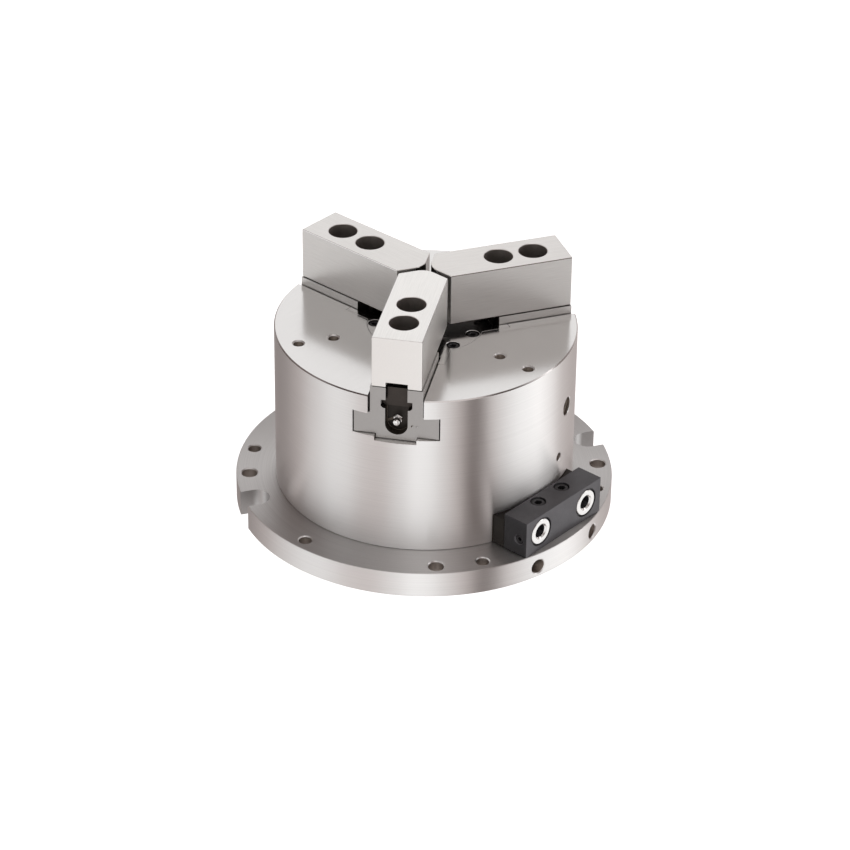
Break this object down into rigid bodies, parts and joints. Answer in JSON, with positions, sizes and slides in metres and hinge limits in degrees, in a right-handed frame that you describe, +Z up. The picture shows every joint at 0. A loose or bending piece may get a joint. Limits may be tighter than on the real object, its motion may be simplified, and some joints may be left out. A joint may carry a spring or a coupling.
{
  "type": "pneumatic gripper",
  "caption": "Stationary pneumatic chuck: a round steel body on a drilled base flange, with an air manifold and radial sliding jaws that close on the centre.",
  "frame": {"origin": "centre of the base flange's underside, on the gripper's axis", "axes": "+Z up along the gripper's axis towards the jaws, -Y towards the air manifold's ports, +Y along jaw 1"},
  "size_m": [0.2664, 0.2664, 0.1817],
  "materials": {
    "body_steel": "finely turned and ground, bright",
    "ground_steel": "ground, satin, very light",
    "master_steel": "ground and hardened, mid grey",
    "bright_fittings": "bright turned",
    "dark_steel": "dark tempered steel",
    "black_oxide": "black oxide",
    "black_anodised": "black anodised, satin",
    "piston_aluminium": "turned",
    "seal_rubber": "matt nitrile rubber",
    "wear_ring_plastic": "filled acetal, brown"
  },
  "bodies": {
    "housing": {"base_flange": "body_steel", "body_housing": "body_steel", "body_screw_1": "black_oxide", "body_screw_2": "black_oxide", "body_screw_3": "black_oxide", "body_screw_4": "black_oxide", "body_screw_5": "black_oxide", "body_screw_6": "black_oxide", "centre_cover": "body_steel", "cover_screw_1": "black_oxide", "cover_screw_2": "black_oxide", "cover_screw_3": "black_oxide", "cover_screw_4": "black_oxide", "cover_screw_5": "black_oxide", "cover_screw_6": "black_oxide", "flange_o_ring": "seal_rubber", "manifold_block": "black_anodised", "manifold_end_plug": "black_oxide", "manifold_o_ring_1": "seal_rubber", "manifold_o_ring_2": "seal_rubber", "manifold_screw_1": "black_oxide", "manifold_screw_2": "black_oxide", "manifold_spacer": "black_oxide", "plunger_rod_seal": "seal_rubber", "port_ring_1": "bright_fittings", "port_ring_2": "bright_fittings", "rim_plug_1": "dark_steel", "rim_plug_2": "dark_steel", "side_plug": "body_steel"},
    "piston_unit": {"piston": "piston_aluminium", "piston_seal": "seal_rubber", "piston_wear_ring": "wear_ring_plastic", "wedge_plunger": "master_steel", "plunger_screw_1": "black_oxide", "plunger_screw_2": "black_oxide", "plunger_screw_3": "black_oxide"},
    "jaw_1": {"master_jaw_1": "master_steel", "top_jaw_1": "ground_steel", "t_nut_1": "dark_steel", "grease_nipple_1": "bright_fittings", "jaw_1_screw_1": "black_oxide", "jaw_1_screw_2": "black_oxide"},
    "jaw_2": {"master_jaw_2": "master_steel", "top_jaw_2": "ground_steel", "t_nut_2": "dark_steel", "grease_nipple_2": "bright_fittings", "jaw_2_screw_1": "black_oxide", "jaw_2_screw_2": "black_oxide"},
    "jaw_3": {"master_jaw_3": "master_steel", "top_jaw_3": "ground_steel", "t_nut_3": "dark_steel", "grease_nipple_3": "bright_fittings", "jaw_3_screw_1": "black_oxide", "jaw_3_screw_2": "black_oxide"}
  },
  "joints": [
    {"name": "piston_slide", "type": "slide", "parent": "housing", "child": "piston_unit", "axis": [0, 0, 1], "range_m": [0, 0.016]},
    {"name": "jaw_1_slide", "type": "slide", "parent": "housing", "child": "jaw_1", "axis": [0, 1, 0], "range_m": [0, 0.0074]},
    {"name": "jaw_2_slide", "type": "slide", "parent": "housing", "child": "jaw_2", "axis": [-0.866, -0.5, 0], "range_m": [0, 0.0074]},
    {"name": "jaw_3_slide", "type": "slide", "parent": "housing", "child": "jaw_3", "axis": [0.866, -0.5, 0], "range_m": [0, 0.0074]}
  ],
  "couplings": [
    {"joint": "jaw_1_slide", "follows": "piston_slide", "ratio": 0.4625},
    {"joint": "jaw_2_slide", "follows": "piston_slide", "ratio": 0.4625},
    {"joint": "jaw_3_slide", "follows": "piston_slide", "ratio": 0.4625}
  ]
}
